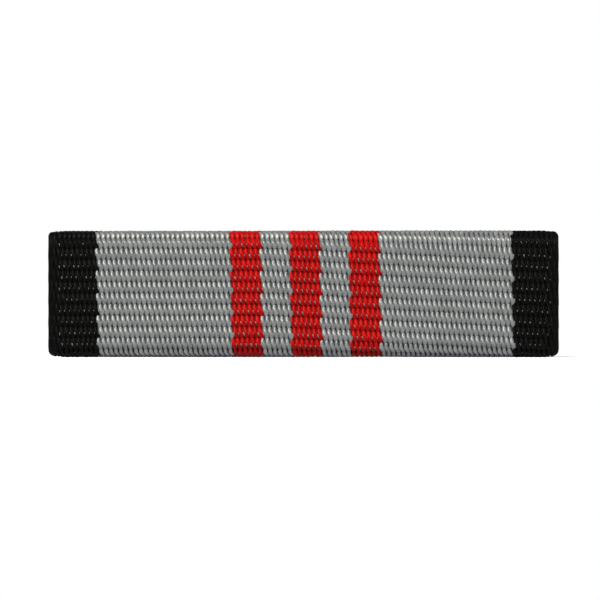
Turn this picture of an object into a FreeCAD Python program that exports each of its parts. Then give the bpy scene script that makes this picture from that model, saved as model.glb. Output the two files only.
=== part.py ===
import FreeCAD, Part
import os
import re

import Sketcher
from FreeCAD import Placement, Rotation, Vector

# Service ribbon bar: a woven ribbon crimped on a folded brass carrier, which slides along a
# mounting plate with two posts, each held behind the cloth by a butterfly clutch.
#
# +X runs along the bar to the right of somebody facing it, +Z is up, and the ribbon faces -Y.
# The origin is the middle of the plane in which the back of the carrier meets the cloth.

SIZES = {
    # ribbon
    "ribbon_width": 34.93,
    "ribbon_height": 8.73,
    "ribbon_thickness": 0.34,
    "fabric_gap": 0.01,
    # carrier: folded sheet with a channel for the mounting plate
    "carrier_length": 34.3,
    "sheet": 0.40,
    "channel_gap": 0.90,
    "slot_height": 3.40,
    "hem_edge_gap": 0.06,
    # mounting plate and posts
    "plate_length": 33.5,
    "plate_thickness": 0.70,
    "plate_height": 6.70,
    "post_spacing": 19.05,
    "post_radius": 0.55,
    "flange_radius": 1.30,
    "flange_thickness": 0.30,
    "post_length": 8.26,
    "groove_radius": 0.43,
    "groove_length": 0.20,
    "groove_taper": 0.10,
    "shoulder_length": 0.40,
    "tip_length": 1.25,
    "tip_radius": 0.12,
    # clutch base
    "cloth_gap": 2.30,
    "base_radius": 4.10,
    "base_sheet": 0.30,
    "base_height": 1.56,
    "base_round": 0.27,
    "lip_radius": 3.30,
    "pin_hole_radius": 0.75,
    "pip_height": 0.22,
    "pip_radius": 0.36,
    "pip_point": 0.12,
    "pip_circle": 2.90,
    # spring clip of the clutch
    "clip_sheet": 0.25,
    "hinge_offset": 2.95,
    "root_radius": 0.18,
    "curl_clearance": 0.04,
    "foot_half_width": 1.45,
    "root_half_width": 1.40,
    "arm_angle": 22.0,
    "wing_angle": 46.0,
    "bend_offset": 1.15,
    "bend_radius": 0.50,
    "wing_length": 3.70,
    "wing_half_width": 2.10,
    "wing_round": 1.30,
    "wing_start": 1.65,
    "jaw_reach": 0.57,
    "window_end": 1.00,
    "wide_arm_half_width": 1.60,
    "wide_window_half_width": 1.06,
    "narrow_arm_half_width": 0.95,
    "narrow_window_half_width": 0.62,
}

# Sizes that follow from the ones above
DERIVED = {
    "bend_inner": "channel_gap / 2",
    "bend_outer": "bend_inner + sheet",
    "hem_slot": "ribbon_thickness + 2 * fabric_gap",
    "hem_inner": "hem_slot / 2",
    "hem_outer": "hem_inner + sheet",
    "wrap_inner": "bend_outer + fabric_gap",
    "wrap_outer": "wrap_inner + ribbon_thickness",
    "bend_height": "ribbon_height / 2 - wrap_outer",
    "bend_depth": "2 * sheet + hem_slot + bend_inner",
    "hem_height": "slot_height / 2 + hem_outer",
    "plate_back": "plate_thickness / 2 - bend_depth",
    "shank_end": "post_length - tip_length",
    "groove_end": "shank_end - shoulder_length",
    "groove_start": "groove_end - 2 * groove_taper - groove_length",
    "curl_inner": "root_radius + curl_clearance",
    "curl_outer": "curl_inner + clip_sheet",
    "hinge_height": "base_sheet + curl_outer",
    "bend_rise": "(hinge_offset + bend_offset) * tan(arm_angle)",
    "bend_level": "hinge_height + bend_rise",
    "half_turn": "(arm_angle + wing_angle) / 2",
    "mitre": "clip_sheet / 2 / cos((wing_angle - arm_angle) / 2)",
    "tip_offset": "bend_offset + wing_length * cos(wing_angle)",
    "tip_level": "bend_level + wing_length * sin(wing_angle)",
}

ALONG_X = Rotation(Vector(0, 1, 0), 90)
OUT_OF_BACK = Rotation(Vector(1, 0, 0), -90)
SIDES = {"left": -1, "right": 1}
PIP_COUNT = 3
HALF_TURN = 180
FULL_TURN = 360
SAME_SIZE = 1e-6
CUT_MARGIN = 1


def cell_formula(text):
    """A formula whose size names point at the cells of the sheet."""
    return re.sub(
        r"[a-z_]+",
        lambda word: f"Sizes.{word[0]}" if word[0] in NAMES else word[0],
        text,
    )


NAMES = set(SIZES) | set(DERIVED)
doc = FreeCAD.newDocument("service_ribbon_bar")
sheet = doc.addObject("Spreadsheet::Sheet", "Sizes")


def fill_sheet():
    """Write one driving or derived size to each row of the sheet."""
    row = 1
    for name, value in SIZES.items():
        sheet.set(f"A{row}", name)
        sheet.set(f"B{row}", str(value))
        sheet.setAlias(f"B{row}", name)
        row += 1
    for name, text in DERIVED.items():
        sheet.set(f"A{row}", name)
        sheet.set(f"B{row}", "=" + text)
        sheet.setAlias(f"B{row}", name)
        row += 1
    doc.recompute()


def value_of(text):
    """The number that a formula gives."""
    return float(sheet.evalExpression(cell_formula(text)))


def bind(thing, sizes):
    """Bind properties of an object to formulas."""
    for prop, text in sizes.items():
        thing.setExpression(prop, cell_formula(text))
    return thing


def place(thing, rotation=Rotation(), x="0", y="0", z="0"):
    """Turn an object and bind its position to formulas."""
    thing.Placement = Placement(Vector(), rotation)
    return bind(
        thing,
        {"Placement.Base.x": x, "Placement.Base.y": y, "Placement.Base.z": z},
    )


# ---------------------------------------------------------------- Part primitives


def box(name, size, at):
    """A block of the given size, from its lowest corner."""
    block = doc.addObject("Part::Box", name)
    bind(block, {"Length": size[0], "Width": size[1], "Height": size[2]})
    return place(block, x=at[0], y=at[1], z=at[2])


def half_tube(name, inner, outer, length, facing, at):
    """Half of a tube along X whose round side faces the angle given from +Y towards +Z."""
    turn = Rotation(Vector(1, 0, 0), facing) * ALONG_X
    rods = []
    for label, radius in (("outside", outer), ("inside", inner)):
        rod = doc.addObject("Part::Cylinder", f"{name}_{label}")
        bind(rod, {"Radius": radius, "Height": length})
        place(rod, turn, at[0], at[1], at[2])
        rods.append(rod)
    rods[0].Angle = HALF_TURN
    tube = doc.addObject("Part::Cut", name)
    tube.Base, tube.Tool = rods
    return tube


def fuse(name, pieces):
    """One solid from touching pieces, with no seams left in its flat faces."""
    whole = doc.addObject("Part::MultiFuse", name)
    whole.Shapes = pieces
    whole.Refine = True
    return whole


def with_mirror_below(name, upper):
    """The upper half of a section joined to its mirror image below."""
    lower = doc.addObject("Part::Mirroring", f"{name}_lower_half")
    lower.Source = upper
    lower.Normal = Vector(0, 0, 1)
    return fuse(name, [upper, lower])


# ---------------------------------------------------------------- PartDesign helpers


def origin_plane(body, role):
    """One of a body's own origin planes."""
    return next(f for f in body.Origin.OriginFeatures if f.Role == role)


def outline_sketch(body, name, role, outlines):
    """Closed straight-sided outlines on an origin plane, with every corner dimensioned."""
    sketch = body.newObject("Sketcher::SketchObject", name)
    sketch.AttachmentSupport = [(origin_plane(body, role), "")]
    sketch.MapMode = "FlatFace"
    for outline in outlines:
        first = sketch.GeometryCount
        corners = [Vector(value_of(a), value_of(b), 0) for a, b in outline]
        ends = corners[1:] + corners[:1]
        sketch.addGeometry([Part.LineSegment(a, b) for a, b in zip(corners, ends)])
        for i in range(len(corners)):
            line = first + i
            following = first + (i + 1) % len(corners)
            sketch.addConstraint(
                Sketcher.Constraint("Coincident", line, 2, following, 1)
            )
            for kind, text, place_now in (
                ("DistanceX", outline[i][0], corners[i].x),
                ("DistanceY", outline[i][1], corners[i].y),
            ):
                index = sketch.addConstraint(
                    Sketcher.Constraint(kind, -1, 1, line, 1, place_now)
                )
                sketch.setExpression(f"Constraints[{index}]", cell_formula(text))
    doc.recompute()
    return sketch


def revolve(body, name, outline):
    """A solid of revolution about the body's own Z axis."""
    sketch = outline_sketch(body, f"{name}_section", "XZ_Plane", [outline])
    turned = body.newObject("PartDesign::Revolution", name)
    turned.Profile = sketch
    turned.ReferenceAxis = (sketch, ["V_Axis"])
    turned.Angle = FULL_TURN
    doc.recompute()
    return turned


def pocket(body, name, outlines):
    """Cut outlines on the XY plane through the whole body, both ways."""
    before = body.Shape.Volume
    cut = body.newObject("PartDesign::Pocket", name)
    cut.Profile = outline_sketch(body, f"{name}_outline", "XY_Plane", outlines)
    cut.Type = 1
    cut.Midplane = True
    doc.recompute()
    if body.Shape.Volume >= before:
        raise RuntimeError(f"{name} cuts nothing")
    return cut


def fillet(body, name, edges, radius):
    """Round the edges that the test picks."""
    base = body.Tip
    picked = [f"Edge{i}" for i, e in enumerate(base.Shape.Edges, 1) if edges(e)]
    if not picked:
        raise RuntimeError(f"{name} finds no edges")
    rounded = body.newObject("PartDesign::Fillet", name)
    rounded.Base = (base, picked)
    bind(rounded, {"Radius": radius})
    doc.recompute()
    return rounded


def rectangle(x0, x1, y0, y1):
    """The corners of a rectangle, as formulas."""
    return [(x0, y0), (x1, y0), (x1, y1), (x0, y1)]


def new_body(name):
    """A PartDesign body labelled with its node's name."""
    body = doc.addObject("PartDesign::Body", name)
    body.Label = name
    return body


# ---------------------------------------------------------------- ribbon unit


def wrapped_section(name, length, inner, outer, tail_edge):
    """Upper half of a strip that runs up the front, round the bend and down the back."""
    half = f"-{length} / 2"
    thickness = f"{outer} - {inner}"
    return [
        box(
            f"{name}_front",
            (length, thickness, "bend_height"),
            (half, f"-bend_depth - {outer}", "0"),
        ),
        half_tube(
            f"{name}_bend", inner, outer, length, 90, (half, "-bend_depth", "bend_height")
        ),
        box(
            f"{name}_tail",
            (length, thickness, f"bend_height - ({tail_edge})"),
            (half, f"{inner} - bend_depth", tail_edge),
        ),
    ]


def ribbon_fabric():
    """Woven ribbon wrapped over the carrier, its tails tucked into the hems."""
    pieces = wrapped_section(
        "ribbon", "ribbon_width", "wrap_inner", "wrap_outer", "hem_height + hem_edge_gap"
    )
    return with_mirror_below("ribbon_fabric", fuse("ribbon_upper_half", pieces))


def carrier_channel():
    """Folded sheet: front, bends, lips that form the channel, and hems that grip the ribbon."""
    length = "carrier_length"
    half = f"-{length} / 2"
    pieces = wrapped_section("carrier", length, "bend_inner", "bend_outer", "hem_height")
    hem_bend = half_tube(
        "carrier_hem_bend",
        "hem_inner",
        "hem_outer",
        length,
        -90,
        (half, "-sheet - hem_inner", "hem_height"),
    )
    hem = box(
        "carrier_hem",
        (length, "sheet", "bend_height - hem_edge_gap - hem_height"),
        (half, "-sheet", "hem_height"),
    )
    upper = fuse("carrier_upper_half", pieces + [hem_bend, hem])
    return with_mirror_below("carrier_channel", upper)


# ---------------------------------------------------------------- mounting bar


def mounting_plate():
    """Strip with round edges that lies in the channel."""
    half = "-plate_length / 2"
    flat = "plate_height - plate_thickness"
    pieces = [
        box(
            "plate_strip",
            ("plate_length", "plate_thickness", flat),
            (half, "-bend_depth - plate_thickness / 2", f"-({flat}) / 2"),
        )
    ]
    for edge, sign in (("lower", "-"), ("upper", "")):
        rod = doc.addObject("Part::Cylinder", f"plate_{edge}_edge")
        bind(rod, {"Radius": "plate_thickness / 2", "Height": "plate_length"})
        place(rod, ALONG_X, half, "-bend_depth", f"{sign}({flat}) / 2")
        pieces.append(rod)
    return fuse("mounting_plate", pieces)


def post(side):
    """Clutch post: weld flange, shank, groove and point, from the plate's back face."""
    body = new_body(f"post_{side}")
    revolve(
        body,
        f"{side}_post_turning",
        [
            ("0", "0"),
            ("flange_radius", "0"),
            ("flange_radius", "flange_thickness"),
            ("post_radius", "flange_thickness"),
            ("post_radius", "groove_start"),
            ("groove_radius", "groove_start + groove_taper"),
            ("groove_radius", "groove_end - groove_taper"),
            ("post_radius", "groove_end"),
            ("post_radius", "shank_end"),
            ("tip_radius", "post_length"),
            ("0", "post_length"),
        ],
    )
    return place(
        body,
        OUT_OF_BACK,
        f"{SIDES[side]} * post_spacing / 2",
        "plate_back",
    )


# ---------------------------------------------------------------- butterfly clutch


def place_clutch_piece(piece, side, turned=False):
    """Move a piece from the clutch's own frame to its post. The two clutches mirror each other."""
    spin = (side == "right") != turned
    rotation = OUT_OF_BACK * Rotation(Vector(0, 0, 1), HALF_TURN if spin else 0)
    return place(piece, rotation, f"{SIDES[side]} * post_spacing / 2", "cloth_gap")


def clutch_base(side):
    """Shallow cup with a rolled lip, a pin hole and three pips that bite the cloth."""
    body = new_body(f"clutch_base_{side}")
    inner = "base_radius - base_sheet"
    lip = "base_height - base_sheet"
    revolve(
        body,
        f"{side}_base_cup",
        [
            ("pin_hole_radius", "0"),
            ("base_radius", "0"),
            ("base_radius", "base_height"),
            ("lip_radius", "base_height"),
            ("lip_radius", lip),
            (inner, lip),
            (inner, "base_sheet"),
            ("pin_hole_radius", "base_sheet"),
        ],
    )
    rim = value_of("base_radius")
    fillet(
        body,
        f"{side}_base_rounding",
        lambda e: isinstance(e.Curve, Part.Circle) and abs(e.Curve.Radius - rim) < SAME_SIZE,
        "base_round",
    )
    pip = body.newObject("PartDesign::AdditiveCone", f"{side}_pip")
    pip.AttachmentSupport = [(origin_plane(body, "XY_Plane"), "")]
    pip.MapMode = "FlatFace"
    pip.AttachmentOffset = Placement(Vector(), Rotation(Vector(1, 0, 0), HALF_TURN))
    bind(
        pip,
        {
            "AttachmentOffset.Base.x": "pip_circle",
            "Radius1": "pip_radius",
            "Radius2": "pip_point",
            "Height": "pip_height",
        },
    )
    doc.recompute()
    ring = body.newObject("PartDesign::PolarPattern", f"{side}_pips")
    ring.Originals = [pip]
    ring.Axis = (origin_plane(body, "Z_Axis"), [""])
    ring.Angle = FULL_TURN
    ring.Occurrences = PIP_COUNT
    body.Tip = ring
    return place_clutch_piece(body, side)


def clip_foot(side):
    """Foot of the spring clip: a plate in the cup, its two ends curled round the arms' roots."""
    length = "2 * foot_half_width"
    half = "-foot_half_width"
    plate = box(
        f"{side}_foot_plate",
        (length, "2 * hinge_offset", "clip_sheet"),
        (half, "-hinge_offset", "base_sheet"),
    )
    curls = [
        half_tube(
            f"{side}_foot_{end}_curl",
            "curl_inner",
            "curl_outer",
            length,
            facing,
            (half, f"{sign} * hinge_offset", "hinge_height"),
        )
        for end, facing, sign in (("near", HALF_TURN, -1), ("far", 0, 1))
    ]
    hole = doc.addObject("Part::Cylinder", f"{side}_foot_hole")
    bind(hole, {"Radius": "pin_hole_radius", "Height": "hinge_height"})
    foot = doc.addObject("Part::Cut", f"clip_foot_{side}")
    foot.Base = fuse(f"{side}_foot_strip", [plate] + curls)
    foot.Tool = hole
    rotation = OUT_OF_BACK * Rotation(Vector(0, 0, 1), 90)
    return place(foot, rotation, f"{SIDES[side]} * post_spacing / 2", "cloth_gap")


def arm_profile():
    """Side view of an arm: it rises from its root, crosses the pin and bends up into the wing."""
    half = "clip_sheet / 2"

    def offset(sign, start_x, start_level, angle, distance):
        return (
            f"{start_x} - {sign} * {distance} * sin({angle})",
            f"{start_level} + {sign} * {distance} * cos({angle})",
        )

    ends = [
        ("-hinge_offset", "hinge_height", "arm_angle", half),
        ("bend_offset", "bend_level", "half_turn", "mitre"),
        ("tip_offset", "tip_level", "wing_angle", half),
    ]
    lower = [offset(-1, *end) for end in ends]
    upper = [offset(1, *end) for end in ends]
    return lower + upper[::-1]


def wing_arm(name, side, turned, arm_half, window_half):
    """One arm of the clip: root rod, strip with a window for the pin, and finger wing."""
    body = new_body(f"{name}_{side}")
    pad = body.newObject("PartDesign::Pad", f"{body.Name}_strip")
    pad.Profile = outline_sketch(body, f"{body.Name}_profile", "XZ_Plane", [arm_profile()])
    pad.Midplane = True
    bind(pad, {"Length": "2 * wing_half_width"})
    doc.recompute()

    bend = value_of("bend_offset")
    middle_of_strip = Vector(bend, 0, value_of("bend_level"))

    def bend_edge(edge):
        return abs(edge.CenterOfMass.distanceToPoint(middle_of_strip)) < value_of("clip_sheet")

    def inner_bend(edge):
        return bend_edge(edge) and edge.CenterOfMass.z > middle_of_strip.z

    fillet(body, f"{body.Name}_inner_bend", inner_bend, "bend_radius")
    fillet(body, f"{body.Name}_outer_bend", bend_edge, "bend_radius + clip_sheet")

    tip = value_of("tip_offset - clip_sheet")
    wide = value_of("wing_half_width") - SAME_SIZE

    def wing_corner(edge):
        a, b = (v.Point for v in edge.Vertexes)
        return min(a.x, b.x) > tip and abs(a.y + b.y) / 2 > wide

    fillet(body, f"{body.Name}_wing_corners", wing_corner, "wing_round")
    beyond_root = f"-hinge_offset - {CUT_MARGIN}"
    beyond_side = f"wing_half_width + {CUT_MARGIN}"
    pocket(
        body,
        f"{body.Name}_waist",
        [
            rectangle(beyond_root, "wing_start", arm_half, beyond_side),
            rectangle(beyond_root, "wing_start", f"-({beyond_side})", f"-{arm_half}"),
        ],
    )
    pocket(
        body,
        f"{body.Name}_window",
        [rectangle("-jaw_reach", "window_end", f"-{window_half}", window_half)],
    )
    root = body.newObject("PartDesign::AdditiveCylinder", f"{body.Name}_root")
    root.AttachmentSupport = [(origin_plane(body, "XZ_Plane"), "")]
    root.MapMode = "FlatFace"
    bind(
        root,
        {
            "Radius": "root_radius",
            "Height": "2 * root_half_width",
            "AttachmentOffset.Base.x": "-hinge_offset",
            "AttachmentOffset.Base.y": "hinge_height",
            "AttachmentOffset.Base.z": "-root_half_width",
        },
    )
    doc.recompute()
    return place_clutch_piece(body, side, turned)


# ---------------------------------------------------------------- the whole bar


def clutch(side):
    """The four solids of one butterfly clutch."""
    return [
        clutch_base(side),
        clip_foot(side),
        wing_arm(
            "wide_wing_arm", side, False, "wide_arm_half_width", "wide_window_half_width"
        ),
        wing_arm(
            "narrow_wing_arm",
            side,
            True,
            "narrow_arm_half_width",
            "narrow_window_half_width",
        ),
    ]


def write_parts(parts):
    """Check every object of the document, then write each sub-part to its own file."""
    doc.recompute()
    failed = [o.Name for o in doc.Objects if {"Invalid", "Error"} & set(o.State)]
    if failed:
        raise RuntimeError(f"these did not build: {failed}")
    for piece in parts:
        if piece.Shape.isNull() or not piece.Shape.isValid():
            raise RuntimeError(f"{piece.Label} has no valid shape")
    os.makedirs("parts", exist_ok=True)
    for piece in parts:
        piece.Shape.exportStep(f"parts/{piece.Label}.step")
        box_size = piece.Shape.BoundBox
        print(
            f"{piece.Label}: {len(piece.Shape.Solids)} solid, {piece.Shape.Volume:.3f} mm3, "
            f"{box_size.XLength:.2f} x {box_size.YLength:.2f} x {box_size.ZLength:.2f} mm"
        )


fill_sheet()
sub_parts = [ribbon_fabric(), carrier_channel(), mounting_plate()]
for side_name in SIDES:
    sub_parts.append(post(side_name))
    sub_parts += clutch(side_name)
write_parts(sub_parts)
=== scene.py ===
import math

import bpy
import numpy as np
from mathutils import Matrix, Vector


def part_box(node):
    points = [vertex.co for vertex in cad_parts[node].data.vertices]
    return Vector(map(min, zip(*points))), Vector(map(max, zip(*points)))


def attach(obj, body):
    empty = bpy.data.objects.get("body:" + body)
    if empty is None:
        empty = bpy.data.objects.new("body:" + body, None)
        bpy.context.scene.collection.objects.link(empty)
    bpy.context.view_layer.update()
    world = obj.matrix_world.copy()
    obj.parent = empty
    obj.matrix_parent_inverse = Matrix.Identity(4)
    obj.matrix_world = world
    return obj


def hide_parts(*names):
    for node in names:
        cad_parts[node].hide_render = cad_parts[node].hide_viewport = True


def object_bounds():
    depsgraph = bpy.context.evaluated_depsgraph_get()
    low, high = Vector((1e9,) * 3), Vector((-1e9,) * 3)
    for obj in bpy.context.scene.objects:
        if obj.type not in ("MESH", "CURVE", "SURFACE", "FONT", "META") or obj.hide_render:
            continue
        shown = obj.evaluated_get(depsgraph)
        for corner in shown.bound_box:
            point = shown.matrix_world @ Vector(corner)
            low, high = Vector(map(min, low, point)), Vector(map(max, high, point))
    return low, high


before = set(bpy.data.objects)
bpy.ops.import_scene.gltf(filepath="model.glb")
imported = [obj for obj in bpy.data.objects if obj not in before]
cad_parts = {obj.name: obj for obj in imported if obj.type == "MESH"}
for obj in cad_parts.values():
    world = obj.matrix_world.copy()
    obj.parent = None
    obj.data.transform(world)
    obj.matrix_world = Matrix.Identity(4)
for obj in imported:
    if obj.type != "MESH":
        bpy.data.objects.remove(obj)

# A service ribbon bar. The ribbon is woven here yarn by yarn and wrapped over the carrier,
# and the metal pieces are the CAD nodes with their own materials. All sizes are in metres.

MM = 0.001
FULL_TURN = 2 * math.pi
CAD_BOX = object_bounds()
RNG = np.random.default_rng(20)

# ---------------------------------------------------------------- the ribbon's path

LOW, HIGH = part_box("ribbon_fabric")
HALF_WIDTH = HIGH[0]
THICKNESS = 0.34 * MM
OUTER_RADIUS = (HIGH[1] - LOW[1]) / 2
MID_RADIUS = OUTER_RADIUS - THICKNESS / 2
BEND_Y = (HIGH[1] + LOW[1]) / 2
BEND_Z = HIGH[2] - OUTER_RADIUS
TAIL = 0.80 * MM
HALF_LENGTH = BEND_Z + math.pi * MID_RADIUS + TAIL

# ---------------------------------------------------------------- sizes of the weave

RIB = 0.765 * MM
RIBS = 19
RIB_SHIFT = -0.345 * MM
# colour, width in millimetres and number of warp yarns, from the left selvedge to the right one
STRIPES = [
    ("black", 3.33, 20),
    ("grey", 9.20, 54),
    ("red", 2.05, 12),
    ("grey", 2.02, 12),
    ("red", 2.03, 12),
    ("grey", 2.02, 12),
    ("red", 2.05, 12),
    ("grey", 9.10, 54),
    ("black", 3.13, 18),
]
# how full the yarn of each colour is
FULLNESS = {"grey": 1.0, "red": 1.0, "black": 1.11}
# rings of points along each rib, and points around each yarn
RINGS_PER_RIB = 8
RINGS = RIBS * RINGS_PER_RIB + 1
YARN_SIDES = 8

# A warp yarn floats over one rib and dives under the next. These are the heights of its middle
# above the ribbon's middle surface, and half its depth, on the crest and in the groove. The crest
# is softened by its rounding, and a lower DIVE keeps the yarn under its rib for longer.
CREST_HEIGHT = 0.085 * MM
CROSSING_HEIGHT = -0.060 * MM
UNDER_HEIGHT = -0.125 * MM
CREST_HALF_DEPTH = 0.085 * MM
GROOVE_HALF_DEPTH = 0.042 * MM
CREST_ROUNDING = 0.10
DIVE = 0.65
# a float's width, from its lower groove (-0.5) over its crest (0) to its upper groove (0.5)
# and on below the next rib (1.0), in ribs and millimetres
WIDTH_PLACES = (-0.50, -0.40, -0.25, -0.10, 0.08, 0.28, 0.50, 0.75, 1.00, 1.25, 1.50)
WIDTHS = (0.185, 0.255, 0.292, 0.280, 0.250, 0.212, 0.140, 0.100, 0.110, 0.130, 0.170)
# its upper end leans to the left: how far, how much it curls, and how far its ridge leans
LEAN = 0.058 * MM
LEAN_CURL = 0.36
RIDGE_LEAN = 0.65
# its section's power: 1 is an ellipse, and less is squarer
ROUNDNESS = 0.68
# where the ribbon turns over the bar, its floats open out and lie more evenly
BEND_FLATTENING = 0.5
BEND_SPREAD = 0.15
# how much one float differs from the next, in share of its width, in place, height and tone
WIDTH_VARIATION = 0.05
SWAY_VARIATION = 0.010 * MM
HEIGHT_VARIATION = 0.006 * MM
TONE_VARIATION = 0.8

# how the ribbon lies on the bar: its warp slants, its ribs droop to the right,
# and its selvedges pull in where it turns over the edges
SLANT = 0.020
SLANT_FADES_FROM = 13.5 * MM
DROOP_SLOPE = 0.0455
DROOP_FROM = -2.3 * MM
DROOP_SOFTNESS = 1.5 * MM
CORNER = 0.335 * MM
CORNER_SHARPNESS = 10
# the last warp yarns before the selvedge are packed closer and crimp less
SELVEDGE = 0.10 * MM
SELVEDGE_DEPTH = 1.0 * MM
SELVEDGE_YARN = 0.23 * MM
SELVEDGE_HEIGHT = 0.030 * MM
SELVEDGE_CALM = 0.85

# the weft yarn in each rib: half its size along the ribbon and through it, and where it lies,
# a little below the rib's middle
WEFT_HALF_LENGTH = 0.140 * MM
WEFT_HALF_HEIGHT = 0.055 * MM
WEFT_HEIGHT = -0.030 * MM
WEFT_DROP = 0.17 * RIB
WEFT_POINTS = 140
# near the selvedges the weft lies lower, out of sight between the closer warp yarns
WEFT_SINK = 0.050 * MM
WEFT_SINK_DEPTH = 1.3 * MM

# the closed sheet under the floats: the heights of its two faces, and its grid
GROUND_HEIGHTS = (-0.168 * MM, -0.138 * MM)
GROUND_ROWS = 96
COLUMNS_PER_STRIPE = 5

# ---------------------------------------------------------------- where the ribbon goes


def smooth(value, low, high):
    """0 below low, 1 above high, and an even curve between them."""
    share = np.clip((value - low) / (high - low), 0, 1)
    return share * share * (3 - 2 * share)


def wrap(x, along, height):
    """Points of the wrapped ribbon. along runs up its middle surface from the front's centre."""
    past = np.abs(along) - BEND_Z
    turn = np.clip(past / MID_RADIUS, 0, math.pi)
    tail = np.clip(past - math.pi * MID_RADIUS, 0, None)
    radius = MID_RADIUS + height
    y = BEND_Y - radius * np.cos(turn)
    z = np.minimum(np.abs(along), BEND_Z) + radius * np.sin(turn) - tail
    return np.stack(np.broadcast_arrays(x, y, np.sign(along) * z), axis=-1)


def lie(across, along):
    """Where a point of the flat ribbon lies on the bar: its x, and its place along the wrap."""
    past = across - DROOP_FROM
    droop = DROOP_SLOPE * (past + np.sqrt(past * past + DROOP_SOFTNESS * DROOP_SOFTNESS)) / 2
    fade = 1 - smooth(np.abs(along), BEND_Z, BEND_Z + math.pi * MID_RADIUS)
    lowered = along - droop * fade
    out = np.clip((np.abs(across) - SLANT_FADES_FROM) / (HALF_WIDTH - SLANT_FADES_FROM), 0, 1)
    x = across - SLANT * lowered * (1 - out * out)
    turn = np.clip((np.abs(lowered) - BEND_Z) / MID_RADIUS, 0, math.pi / 2)
    height = BEND_Z + OUTER_RADIUS * np.sin(turn) - (HIGH[2] - CORNER)
    height = np.clip(height, 0, CORNER)
    pull = CORNER - np.sqrt(CORNER * CORNER - height * height)
    x = x - np.sign(across) * pull * (np.abs(across) / HALF_WIDTH) ** CORNER_SHARPNESS
    return x, lowered


# ---------------------------------------------------------------- meshes


def new_piece(name, verts, faces, smooth_shading=True):
    """A mesh object in the part's frame."""
    mesh = bpy.data.meshes.new(name)
    mesh.vertices.add(len(verts))
    mesh.vertices.foreach_set("co", np.asarray(verts, dtype=np.float32).ravel())
    lengths = np.array([len(f) for f in faces], dtype=np.int32)
    mesh.loops.add(int(lengths.sum()))
    mesh.loops.foreach_set("vertex_index", np.concatenate(faces).astype(np.int32))
    mesh.polygons.add(len(faces))
    starts = np.concatenate([[0], np.cumsum(lengths)[:-1]]).astype(np.int32)
    mesh.polygons.foreach_set("loop_start", starts)
    mesh.polygons.foreach_set("use_smooth", np.full(len(faces), smooth_shading))
    mesh.update(calc_edges=True)
    mesh.validate()
    piece = bpy.data.objects.new(name, mesh)
    bpy.context.scene.collection.objects.link(piece)
    return piece


def tube_faces(rings, sides, first):
    """Faces of a tube of rings, closed at both ends, whose points start at first."""
    ring, side = np.meshgrid(np.arange(rings - 1), np.arange(sides), indexing="ij")
    following = (side + 1) % sides
    quads = np.stack(
        [
            ring * sides + side,
            ring * sides + following,
            (ring + 1) * sides + following,
            (ring + 1) * sides + side,
        ],
        axis=-1,
    ).reshape(-1, 4)
    start_cap = np.arange(sides)[::-1]
    end_cap = (rings - 1) * sides + np.arange(sides)
    return [first + f for f in quads] + [first + start_cap, first + end_cap]


def yarn_piece(name, points, coordinates, faces):
    """One piece made of many yarns. Its material reads where each point is on its yarn."""
    piece = new_piece(name, np.concatenate(points), faces)
    layer = piece.data.attributes.new("yarn", "FLOAT_VECTOR", "POINT")
    values = np.concatenate(coordinates)
    layer.data.foreach_set("vector", np.asarray(values, dtype=np.float32).ravel())
    return piece


def yarn_coordinates(length, around, tone, shape):
    """Place along the yarn in millimetres, share of a turn around it, and tone, point by point."""
    values = [np.broadcast_to(value, shape) for value in (length, around, tone)]
    return np.stack(values, axis=-1).reshape(-1, 3)


# ---------------------------------------------------------------- warp


def crimp(place):
    """How a warp yarn leans, floats over a rib and goes under the next, in its cycle of two."""
    lift = np.cos(math.pi * place)
    curl = LEAN_CURL * np.sin(2 * math.pi * place)
    sideways = -(1 - LEAN_CURL) * np.sin(math.pi * place) - np.where(lift > 0, curl, 0)
    tent = 1 + CREST_ROUNDING - np.sqrt(4 * place * place + CREST_ROUNDING * CREST_ROUNDING)
    over = np.where(lift > 0, tent, 0)
    under = np.clip(-lift, 0, 1) ** DIVE
    return sideways, over, under


def yarn_size(place, along, over, under, fullness):
    """A warp yarn's height in the cloth and its width, with its floats opened at the bends."""
    height = (
        CROSSING_HEIGHT
        + (CREST_HEIGHT - CROSSING_HEIGHT) * over
        + (UNDER_HEIGHT - CROSSING_HEIGHT) * under
    )
    width = np.interp(place, WIDTH_PLACES, WIDTHS) * MM * fullness
    turn = np.clip((np.abs(along) - BEND_Z) / MID_RADIUS, 0, math.pi)
    tight = np.sin(turn) ** 2
    height = height + BEND_FLATTENING * tight * (CREST_HEIGHT - height)
    width = width + BEND_SPREAD * tight * (max(WIDTHS) * MM - width)
    return height, width


def float_variation(run, over_first):
    """Three random numbers for each ring of a yarn, the same all along one float."""
    float_number = np.floor(run + over_first + 0.5).astype(int)
    float_number -= float_number.min()
    return RNG.normal(size=(float_number.max() + 1, 3))[float_number]


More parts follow.
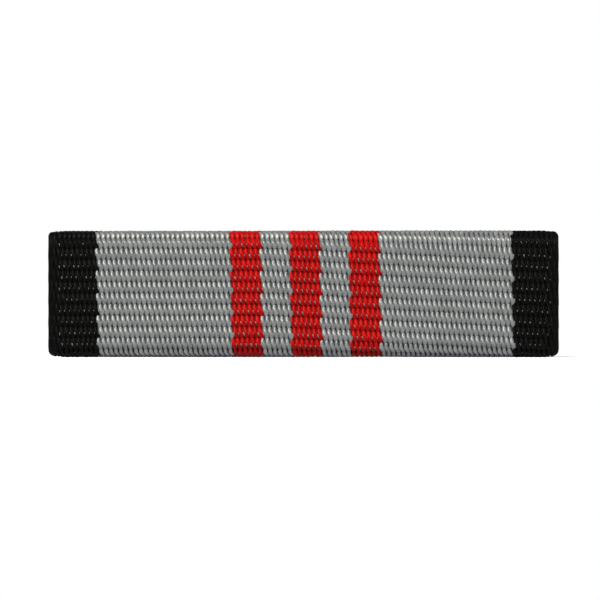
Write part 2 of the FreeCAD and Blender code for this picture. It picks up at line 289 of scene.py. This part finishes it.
def warp_yarn(across, over_first, fullness):
    """One warp yarn: its points, ring by ring, and their yarn coordinates."""
    run = (np.arange(RINGS) - (RINGS - 1) / 2) / RINGS_PER_RIB
    place = (run + over_first + 0.5) % 2 - 0.5
    x, along = lie(across, run * RIB + RIB_SHIFT)
    near_edge = smooth(abs(across), HALF_WIDTH - SELVEDGE_DEPTH, HALF_WIDTH - SELVEDGE)
    sideways, over, under = crimp(place)
    sideways = sideways * (1 - near_edge)
    half_depth = GROOVE_HALF_DEPTH + (CREST_HALF_DEPTH - GROOVE_HALF_DEPTH) * over
    height, width = yarn_size(place, along, over, under, fullness)
    calm = SELVEDGE_CALM * near_edge
    width = width + calm * (SELVEDGE_YARN - width)
    height = height + calm * (SELVEDGE_HEIGHT - height)

    vary = float_variation(run, over_first)
    width = width * (1 + WIDTH_VARIATION * vary[:, 0] * (1 - near_edge))
    sway = SWAY_VARIATION * vary[:, 1] * over * (1 - near_edge)
    height = height + HEIGHT_VARIATION * vary[:, 2] * over
    tone = 0.5 + 0.5 * np.tanh(TONE_VARIATION * vary[:, :1])

    angle = -np.arange(YARN_SIDES) * FULL_TURN / YARN_SIDES - math.pi / 2
    round_x = np.sign(np.cos(angle)) * np.abs(np.cos(angle)) ** ROUNDNESS
    round_h = np.sign(np.sin(angle)) * np.abs(np.sin(angle)) ** ROUNDNESS
    ridge = RIDGE_LEAN * sideways
    section_x = width[:, None] / 2 * (round_x + ridge[:, None] * round_h)
    section_h = half_depth[:, None] * round_h
    shift = (sway + LEAN * sideways)[:, None] + section_x
    points = wrap(x[:, None] + shift, along[:, None], height[:, None] + section_h)
    length = (run * RIB / MM)[:, None]
    return points.reshape(-1, 3), yarn_coordinates(length, angle / FULL_TURN, tone, shift.shape)


def warp_stripe(name, start, width, count, first, fullness):
    """All the warp yarns of one stripe, as one piece."""
    points, coordinates, faces = [], [], []
    for i in range(count):
        across = start + (i + 0.5) * width / count
        across = max(SELVEDGE - HALF_WIDTH, min(HALF_WIDTH - SELVEDGE, across))
        yarn_points, yarn_places = warp_yarn(across, (first + i) % 2, fullness)
        points.append(yarn_points)
        coordinates.append(yarn_places)
        faces += tube_faces(RINGS, YARN_SIDES, i * RINGS * YARN_SIDES)
    return yarn_piece(name, points, coordinates, faces)


# ---------------------------------------------------------------- weft and ground


def weft_yarns():
    """The straight yarns inside the ribs, which show as pale ticks between the warp yarns."""
    points, coordinates, faces = [], [], []
    across = np.linspace(-1, 1, WEFT_POINTS) * (HALF_WIDTH - 2 * SELVEDGE)
    near_edge = smooth(np.abs(across), HALF_WIDTH - WEFT_SINK_DEPTH, HALF_WIDTH - SELVEDGE_DEPTH)
    sink = WEFT_SINK * near_edge
    angle = np.arange(YARN_SIDES) * FULL_TURN / YARN_SIDES
    offset = WEFT_HALF_LENGTH * np.cos(angle)
    height = WEFT_HEIGHT + WEFT_HALF_HEIGHT * np.sin(angle) - sink[:, None]
    for k in range(RIBS):
        run = (k - (RIBS - 1) / 2) * RIB + RIB_SHIFT - WEFT_DROP
        x, along = lie(across, np.full(WEFT_POINTS, run))
        points.append(wrap(x[:, None], along[:, None] + offset, height).reshape(-1, 3))
        length = x[:, None] / MM
        coordinates.append(yarn_coordinates(length, angle / FULL_TURN, 0.5, height.shape))
        faces += tube_faces(WEFT_POINTS, YARN_SIDES, k * WEFT_POINTS * YARN_SIDES)
    return yarn_piece("weft_yarns", points, coordinates, faces)


def ground_columns():
    """Places across the ribbon: the edges of its stripes, and even steps between them."""
    edges = np.cumsum([0] + [width for _, width, _ in STRIPES]) * MM
    edges = np.clip(edges - edges[-1] / 2, SELVEDGE - HALF_WIDTH, HALF_WIDTH - SELVEDGE)
    steps = [np.linspace(a, b, COLUMNS_PER_STRIPE + 1)[:-1] for a, b in zip(edges, edges[1:])]
    return np.concatenate(steps + [edges[-1:]])


def sheet_faces(columns, rows):
    """Faces of a closed sheet with an inner and an outer layer, and the column of each face."""
    faces, column_of = [], []

    def add_face(column, *corners):
        places = [layer * columns * rows + i * rows + j for layer, i, j in corners]
        faces.append(np.array(places))
        column_of.append(column)

    for i in range(columns - 1):
        for j in range(rows - 1):
            add_face(i, (0, i, j), (0, i, j + 1), (0, i + 1, j + 1), (0, i + 1, j))
            add_face(i, (1, i, j), (1, i + 1, j), (1, i + 1, j + 1), (1, i, j + 1))
    last = columns - 1
    for j in range(rows - 1):
        add_face(0, (0, 0, j), (1, 0, j), (1, 0, j + 1), (0, 0, j + 1))
        add_face(last, (0, last, j + 1), (1, last, j + 1), (1, last, j), (0, last, j))
    end = rows - 1
    for i in range(columns - 1):
        add_face(i, (0, i, 0), (0, i + 1, 0), (1, i + 1, 0), (1, i, 0))
        add_face(i, (1, i, end), (1, i + 1, end), (0, i + 1, end), (0, i, end))
    return faces, column_of


def ground_sheet(materials):
    """The body of the cloth under the visible floats, one closed sheet from tail to tail."""
    run = np.linspace(-1, 1, GROUND_ROWS + 1) * HALF_LENGTH
    grid_across, grid_run = np.meshgrid(ground_columns(), run, indexing="ij")
    x, along = lie(grid_across, grid_run)
    layers = [wrap(x, along, np.full(x.shape, height)) for height in GROUND_HEIGHTS]
    faces, column_of = sheet_faces(*x.shape)
    piece = new_piece("ribbon_ground", np.concatenate(layers).reshape(-1, 3), faces)
    colours = sorted(materials)
    for colour in colours:
        piece.data.materials.append(materials[colour])
    stripe_of = [min(i // COLUMNS_PER_STRIPE, len(STRIPES) - 1) for i in column_of]
    material_index = [colours.index(STRIPES[stripe][0]) for stripe in stripe_of]
    piece.data.polygons.foreach_set("material_index", np.array(material_index, dtype=np.int32))
    return piece


# ---------------------------------------------------------------- materials

# darkest and lightest colour of the fibres, and how glossy they are
YARNS = {
    "grey": ((0.094, 0.101, 0.109), (0.176, 0.183, 0.190), 1.0),
    "red": ((0.26, 0.0009, 0.0009), (0.41, 0.0034, 0.0026), 0.07),
    "black": ((0.0015, 0.0015, 0.0015), (0.0040, 0.0040, 0.0040), 0.03),
}
YARN_ROUGHNESS = 0.42
WEFT_YARN = ((0.11, 0.11, 0.11), (0.20, 0.20, 0.20), 0.2)
WEFT_ROUGHNESS = 0.5
# turns of a yarn's twist in a millimetre, its plies, and the fibres' fineness around it
TWIST = 1.1
PLIES = 2
FIBRE_FINENESS = 26.0
# how far apart in the fibre pattern two floats of different tone are
TONE_STEP = 9.0
# share of a float's colour that comes from its fibres, where the rest is its tone
FIBRE_SHARE = 0.7
FIBRE_ROUGHNESS_SPREAD = 0.08
PLY_DEPTH = 0.35
YARN_BUMP = 0.45
YARN_BUMP_DEPTH = 0.02 * MM
# the ground's lightest colour as a share of its yarns' darkest, painted darker as shade in the
# gaps between the floats, and its darkest of that
GROUND_SHADE_SHARE = 0.8
GROUND_SHADE = 0.55
GROUND_SPECKLE = 9000.0
GROUND_ROUGHNESS = 0.85

# noise scales along X, Y and Z, in cycles per metre: sheet drawn along the bar, a turned pin,
# a stamped cup, and a bent strip
DRAWN = (300, 9000, 9000)
TURNED = (2500, 14000, 2500)
STAMPED = (1500, 1500, 1500)
STRIP = (6000, 500, 9000)
# starts of the CAD nodes' names, colour, tarnished colour, roughness, grain and its strength
METALS = {
    "carrier_brass": (
        ("carrier_channel",), (0.72, 0.52, 0.22), (0.48, 0.31, 0.11), 0.24, DRAWN, 0.5,
    ),
    "bar_brass": (
        ("mounting_plate",), (0.68, 0.49, 0.21), (0.44, 0.29, 0.11), 0.30, DRAWN, 0.6,
    ),
    "post_metal": (
        ("post",), (0.76, 0.59, 0.29), (0.56, 0.40, 0.17), 0.20, TURNED, 0.3,
    ),
    "clutch_brass": (
        ("clutch_base",), (0.80, 0.58, 0.22), (0.60, 0.40, 0.12), 0.16, STAMPED, 0.15,
    ),
    "clip_spring": (
        ("clip", "wide_wing", "narrow_wing"),
        (0.74, 0.54, 0.22), (0.52, 0.35, 0.12), 0.22, STRIP, 0.4,
    ),
}
TARNISH_SCALE = 420.0
TARNISH_ROUGHNESS = 0.12
GRAIN_SMOOTHER = 0.06
GRAIN_ROUGHER = 0.08
GRAIN_DEPTH = 0.01 * MM
# an edge is brighter in colour where the bevelled and the true surface differ
EDGE_RADIUS = 0.06 * MM
EDGE_SAMPLES = 4
EDGE_STARTS = 0.99
EDGE_FULL = 0.85
EDGE_BRIGHTNESS = 1.15


class Nodes:
    """A short way to add and link shader nodes."""

    def __init__(self, tree):
        self.tree = tree
        tree.nodes.clear()

    def add(self, kind, inputs=None, **settings):
        """A node with its settings, whose inputs are linked to sockets or set to values."""
        node = self.tree.nodes.new(kind)
        for key, value in settings.items():
            setattr(node, key, value)
        for key, value in (inputs or {}).items():
            if isinstance(value, bpy.types.NodeSocket):
                self.tree.links.new(value, node.inputs[key])
            else:
                node.inputs[key].default_value = value
        return node

    def noise(self, place, scale, detail, roughness=0.5):
        """Noise from 0 to 1 at a place."""
        inputs = {"Vector": place, "Scale": scale, "Detail": detail, "Roughness": roughness}
        return self.add("ShaderNodeTexNoise", inputs).outputs["Fac"]

    def ramp(self, factor, stops):
        """A colour that goes from stop to stop with the factor."""
        node = self.add("ShaderNodeValToRGB", {"Fac": factor})
        elements = node.color_ramp.elements
        for element, (position, colour) in zip(elements, stops):
            element.position = position
            element.color = (*colour, 1)
        return node.outputs["Color"]

    def math(self, operation, a, b=0.0):
        """A sum, product or other operation on two values."""
        return self.add("ShaderNodeMath", {0: a, 1: b}, operation=operation).outputs[0]

    def range(self, value, low, high):
        """A value from 0 to 1, brought to low to high."""
        node = self.add("ShaderNodeMapRange", {"Value": value, "To Min": low, "To Max": high})
        return node.outputs["Result"]

    def finish(self, shader):
        """Link the shader to the material's output."""
        self.add("ShaderNodeOutputMaterial", {"Surface": shader.outputs[0]})


def new_material(name):
    """A material with an empty node tree, ready for Nodes."""
    material = bpy.data.materials.new(name)
    material.use_nodes = True
    return material, Nodes(material.node_tree)


def yarn_material(name, dark, light, roughness, gloss):
    """Plied, silky yarn: colour varies from float to float and along its fibres."""
    material, nodes = new_material(name)
    yarn = nodes.add("ShaderNodeAttribute", attribute_name="yarn")
    parts = nodes.add("ShaderNodeSeparateXYZ", {"Vector": yarn.outputs["Vector"]})
    length, around, tone = parts.outputs
    twist = nodes.math("ADD", nodes.math("MULTIPLY", length, TWIST), around)
    ply = nodes.math("SINE", nodes.math("MULTIPLY", twist, PLIES * FULL_TURN))
    fineness = nodes.math("MULTIPLY", twist, FIBRE_FINENESS)
    step = nodes.math("MULTIPLY", tone, TONE_STEP)
    place = nodes.add("ShaderNodeCombineXYZ", {"X": fineness, "Y": length, "Z": step})
    fibre = nodes.noise(place.outputs[0], 1.0, 3.0, 0.6)
    from_fibre = nodes.math("MULTIPLY", fibre, FIBRE_SHARE)
    from_tone = nodes.math("MULTIPLY", tone, 1 - FIBRE_SHARE)
    shade = nodes.math("ADD", from_fibre, from_tone)
    height = nodes.math("ADD", nodes.math("MULTIPLY", ply, PLY_DEPTH), fibre)
    bump = nodes.add(
        "ShaderNodeBump",
        {"Strength": YARN_BUMP, "Distance": YARN_BUMP_DEPTH, "Height": height},
    )
    smoothest = roughness - FIBRE_ROUGHNESS_SPREAD
    roughest = roughness + FIBRE_ROUGHNESS_SPREAD
    shader = nodes.add(
        "ShaderNodeBsdfPrincipled",
        {
            "Base Color": nodes.ramp(shade, [(0.25, dark), (0.75, light)]),
            "Roughness": nodes.range(fibre, smoothest, roughest),
            "Specular IOR Level": gloss,
            "Normal": bump.outputs[0],
        },
    )
    nodes.finish(shader)
    return material


def ground_material(name, colour):
    """The close packed cloth below the floats, painted darker than its yarns as shade in the gaps
    between them.
    """
    material, nodes = new_material(name)
    place = nodes.add("ShaderNodeTexCoord").outputs["Object"]
    speckle = nodes.noise(place, GROUND_SPECKLE, 2.0)
    darker = tuple(GROUND_SHADE * c for c in colour)
    tint = nodes.ramp(speckle, [(0.3, darker), (0.7, colour)])
    inputs = {"Base Color": tint, "Roughness": GROUND_ROUGHNESS}
    nodes.finish(nodes.add("ShaderNodeBsdfPrincipled", inputs))
    return material


def bright_edge_mask(nodes, rounded):
    """A factor of 1 on the edges and 0 elsewhere, from the bevelled surface direction."""
    true_direction = nodes.add("ShaderNodeNewGeometry").outputs["Normal"]
    agreement = nodes.add(
        "ShaderNodeVectorMath", {0: rounded, 1: true_direction}, operation="DOT_PRODUCT"
    ).outputs["Value"]
    edge = nodes.add(
        "ShaderNodeMapRange",
        {"Value": agreement, "From Min": EDGE_STARTS, "From Max": EDGE_FULL},
    )
    return edge.outputs["Result"]


def metal_material(name, base, tarnish, roughness, grain, grain_strength):
    """Brass with a drawn or turned grain, faint tarnish, and edges brighter in colour."""
    material, nodes = new_material(name)
    place = nodes.add("ShaderNodeTexCoord").outputs["Object"]
    stretched = nodes.add("ShaderNodeMapping", {"Vector": place, "Scale": grain}).outputs[0]
    lines = nodes.noise(stretched, 1.0, 4.0, 0.65)
    patches = nodes.noise(place, TARNISH_SCALE, 5.0, 0.6)
    bevel = nodes.add("ShaderNodeBevel", {"Radius": EDGE_RADIUS}, samples=EDGE_SAMPLES)
    rounded = bevel.outputs[0]
    tint = nodes.ramp(patches, [(0.30, tarnish), (0.62, base)])
    bright = tuple(min(1.0, EDGE_BRIGHTNESS * c) for c in base)
    # inputs 6 and 7 and output 2 of a mix node are its two colours and the mixed one
    # the edge mask makes the colour brighter on the edges
    edge_tint = nodes.add(
        "ShaderNodeMix",
        {"Factor": bright_edge_mask(nodes, rounded), 6: tint, 7: (*bright, 1)},
        data_type="RGBA",
    )
    bump = nodes.add(
        "ShaderNodeBump",
        {"Strength": grain_strength, "Distance": GRAIN_DEPTH, "Height": lines, "Normal": rounded},
    )
    rough = nodes.math(
        "ADD",
        nodes.range(lines, roughness - GRAIN_SMOOTHER, roughness + GRAIN_ROUGHER),
        nodes.math("MULTIPLY", patches, TARNISH_ROUGHNESS),
    )
    shader = nodes.add(
        "ShaderNodeBsdfPrincipled",
        {
            "Base Color": edge_tint.outputs[2],
            "Metallic": 1.0,
            "Roughness": rough,
            "Normal": bump.outputs[0],
        },
    )
    nodes.finish(shader)
    return material


# ---------------------------------------------------------------- the dressed object


def warp_pieces(materials):
    """The stripes of warp yarns, from the left selvedge to the right one."""
    pieces = []
    first = 0
    start = -sum(width for _, width, _ in STRIPES) * MM / 2
    for number, (colour, width, count) in enumerate(STRIPES, 1):
        name = f"warp_{number}_{colour}"
        stripe = warp_stripe(name, start, width * MM, count, first, FULLNESS[colour])
        stripe.data.materials.append(materials[colour])
        pieces.append(stripe)
        first += count
        start += width * MM
    return pieces


def dress_ribbon():
    """Build the ribbon's pieces, give them their materials and hang them on the carrier."""
    yarn, ground = {}, {}
    for name, (dark, light, gloss) in YARNS.items():
        yarn[name] = yarn_material(f"yarn_{name}", dark, light, YARN_ROUGHNESS, gloss)
        # the ground's colour is painted shade: darker than its yarns' darkest, so the gaps between
        # the floats look deep
        ground[name] = ground_material(f"ground_{name}", tuple(GROUND_SHADE_SHARE * c for c in dark))
    pieces = warp_pieces(yarn)
    weft = weft_yarns()
    dark, light, gloss = WEFT_YARN
    weft.data.materials.append(yarn_material("yarn_weft", dark, light, WEFT_ROUGHNESS, gloss))
    pieces.append(weft)
    sheet = ground_sheet(ground)
    for piece in pieces + [sheet]:
        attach(piece, "ribbon_unit")
        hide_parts("ribbon_fabric")


def dress_metal():
    """Give every metal node its finish."""
    for material_name, (starts, *finish) in METALS.items():
        material = metal_material(material_name, *finish)
        for name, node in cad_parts.items():
            if name.startswith(starts):
                node.data.materials.clear()
                node.data.materials.append(material)


# ---------------------------------------------------------------- floor, light and camera

BAR_CENTRE = Vector((0, LOW[1], 0))
FLOOR_HALF_SIZE = (0.09, 0.06)
FLOOR_DARK = (0.94, 0.94, 0.94)
FLOOR_PALE = (0.97, 0.97, 0.97)
FLOOR_GRAIN = 900.0
# a faint cool light in the floor evens out the warm key light, so its edges don't show
FLOOR_GLOW = (0.80, 0.84, 1.0, 1)
FLOOR_GLOW_STRENGTH = 0.20
KEY_PLACE = (-0.06, -0.185, 0.200)
KEY_SIZE = 0.11
KEY_POWER = 1.42
KEY_COLOUR = (1, 0.985, 0.88)
# the surroundings light the object more from below, and the camera sees them as white
AMBIENT_COLOUR = (0.93, 0.97, 1.07, 1)
AMBIENT_FROM_BELOW = 0.74
AMBIENT_FROM_ABOVE = 0.08
CAMERA_DISTANCE = 0.50
FRAME_WIDTH = 41.07 * MM
FRAME_CENTRE = (-0.24 * MM, -0.424 * MM)
SENSOR_WIDTH = 36
CLIP_START = 0.01
CLIP_END = 10


def floor_material():
    """Matt pale paint with a faint grain."""
    material, nodes = new_material("floor_paint")
    place = nodes.add("ShaderNodeTexCoord").outputs["Object"]
    grain = nodes.noise(place, FLOOR_GRAIN, 3.0)
    shader = nodes.add(
        "ShaderNodeBsdfPrincipled",
        {
            "Base Color": nodes.ramp(grain, [(0.3, FLOOR_DARK), (0.7, FLOOR_PALE)]),
            "Roughness": 1.0,
            "Specular IOR Level": 0.0,
            "Emission Color": FLOOR_GLOW,
            "Emission Strength": FLOOR_GLOW_STRENGTH,
        },
    )
    nodes.finish(shader)
    return material


def pale_floor():
    """A plain pale tabletop at the object's lowest point."""
    half_x, half_y = FLOOR_HALF_SIZE
    z = CAD_BOX[0][2]
    corners = [(-1, -1), (1, -1), (1, 1), (-1, 1)]
    verts = [(half_x * x, half_y * y, z) for x, y in corners]
    floor = new_piece("floor", verts, [np.arange(4)], False)
    floor.data.materials.append(floor_material())
    floor.visible_diffuse = False


def key_light():
    """One soft square light from above and a little to the left, aimed at the bar."""
    data = bpy.data.lights.new("key", "AREA")
    data.shape = "SQUARE"
    data.size = KEY_SIZE
    data.energy = KEY_POWER
    data.color = KEY_COLOUR
    light = bpy.data.objects.new("key", data)
    light.location = KEY_PLACE
    aim = BAR_CENTRE - Vector(KEY_PLACE)
    light.rotation_euler = aim.to_track_quat("-Z", "Y").to_euler()
    bpy.context.scene.collection.objects.link(light)


def surroundings():
    """A soft ambient light, and plain white behind the object."""
    world = bpy.data.worlds.new("studio")
    bpy.context.scene.world = world
    world.use_nodes = True
    nodes = Nodes(world.node_tree)
    direction = nodes.add("ShaderNodeTexCoord").outputs["Generated"]
    height = nodes.add("ShaderNodeSeparateXYZ", {"Vector": direction}).outputs["Z"]
    strength = nodes.add(
        "ShaderNodeMapRange",
        {
            "Value": height,
            "From Min": -1.0,
            "From Max": 1.0,
            "To Min": AMBIENT_FROM_BELOW,
            "To Max": AMBIENT_FROM_ABOVE,
        },
    ).outputs["Result"]
    ambient = nodes.add("ShaderNodeBackground", {"Color": AMBIENT_COLOUR, "Strength": strength})
    white = nodes.add("ShaderNodeBackground", {"Color": (1, 1, 1, 1), "Strength": 1.0})
    seen = nodes.add("ShaderNodeLightPath").outputs["Is Camera Ray"]
    both = nodes.add("ShaderNodeMixShader", {0: seen, 1: ambient.outputs[0], 2: white.outputs[0]})
    nodes.add("ShaderNodeOutputWorld", {"Surface": both.outputs[0]})


def camera():
    """A long lens straight in front of the ribbon."""
    data = bpy.data.cameras.new("camera")
    data.sensor_width = SENSOR_WIDTH
    data.lens = SENSOR_WIDTH * CAMERA_DISTANCE / FRAME_WIDTH
    data.clip_start = CLIP_START
    data.clip_end = CLIP_END
    eye = bpy.data.objects.new("camera", data)
    eye.location = (FRAME_CENTRE[0], LOW[1] - CAMERA_DISTANCE, FRAME_CENTRE[1])
    eye.rotation_euler = (math.pi / 2, 0, 0)
    bpy.context.scene.collection.objects.link(eye)
    bpy.context.scene.camera = eye


dress_ribbon()
dress_metal()
pale_floor()
key_light()
surroundings()
camera()
bpy.context.scene.view_settings.view_transform = "Standard"
